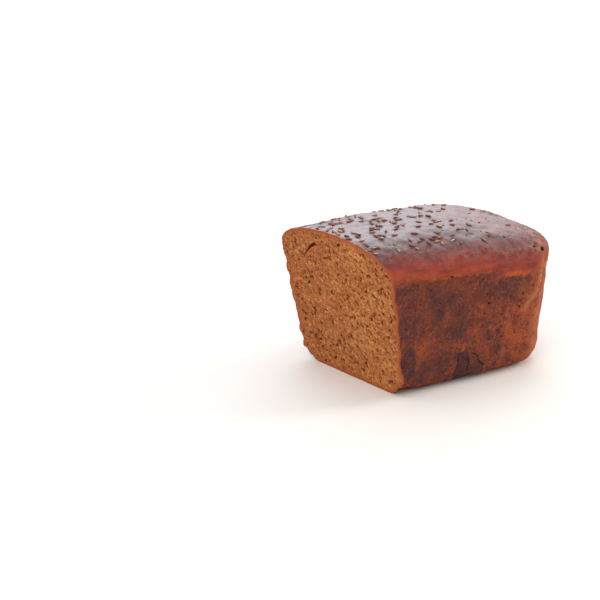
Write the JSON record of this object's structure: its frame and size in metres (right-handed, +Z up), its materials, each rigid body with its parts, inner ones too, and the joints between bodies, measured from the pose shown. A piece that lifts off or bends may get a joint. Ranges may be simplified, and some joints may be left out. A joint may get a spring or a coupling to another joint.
{
  "type": "cut tin loaf",
  "caption": "Dark rye tin loaf cut across, with a flat base, leaning tin walls, a risen seeded top and one open crumb face.",
  "frame": {"origin": "on the flat base, under the middle of the cut loaf's box", "axes": "+X along the loaf towards its baked end, so the cut face is at -X; +Z up; the two long tin walls face -Y and +Y"},
  "size_m": [0.1484, 0.1106, 0.0971],
  "materials": {
    "crust": "dark baked rye crust, glazed and glossy on the top, dull on the walls",
    "crumb": "open, fine-pored brown crumb, matte",
    "caraway_seed": "dry ribbed seed, dull"
  },
  "bodies": {
    "root": {"loaf": "crust"}
  },
  "joints": []
}
